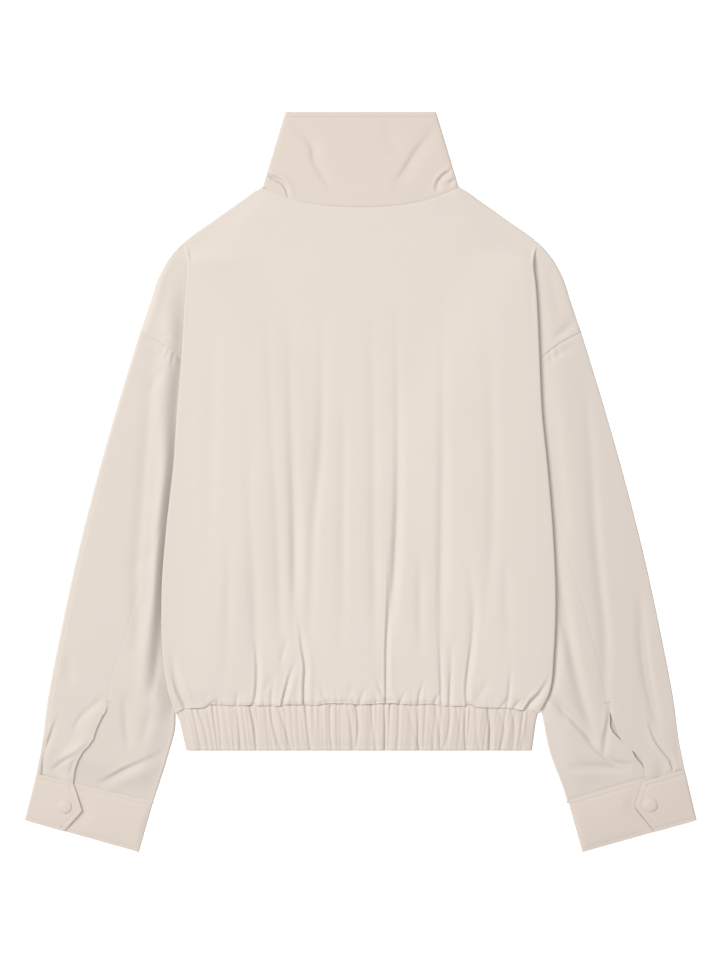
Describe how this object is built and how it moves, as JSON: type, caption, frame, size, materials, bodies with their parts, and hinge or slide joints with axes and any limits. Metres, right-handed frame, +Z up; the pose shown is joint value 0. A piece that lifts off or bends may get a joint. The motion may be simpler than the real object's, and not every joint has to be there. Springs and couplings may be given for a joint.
{
  "type": "utility jacket",
  "caption": "Cropped funnel-neck jacket laid flat, back up: drop shoulders, gathered hem band, sleeves with slits and buttoned tab cuffs.",
  "frame": {"origin": "centre of the jacket's outline on the surface that it lies on", "axes": "+Z up from the surface, +Y from the hem towards the collar, +X across towards the wearer's right sleeve"},
  "size_m": [0.74, 0.8138, 0.0088],
  "materials": {
    "shell_fabric": "matte smooth cotton-nylon weave",
    "button_cover": "matte covered button"
  },
  "bodies": {
    "root": {"back_panel": "shell_fabric", "front_left": "shell_fabric", "front_right": "shell_fabric", "collar": "shell_fabric", "hem_band": "shell_fabric", "sleeve_top_left": "shell_fabric", "sleeve_top_right": "shell_fabric", "sleeve_under_left": "shell_fabric", "sleeve_under_right": "shell_fabric", "cuff_left": "shell_fabric", "cuff_right": "shell_fabric", "cuff_button_left": "button_cover", "cuff_button_right": "button_cover"}
  },
  "joints": []
}
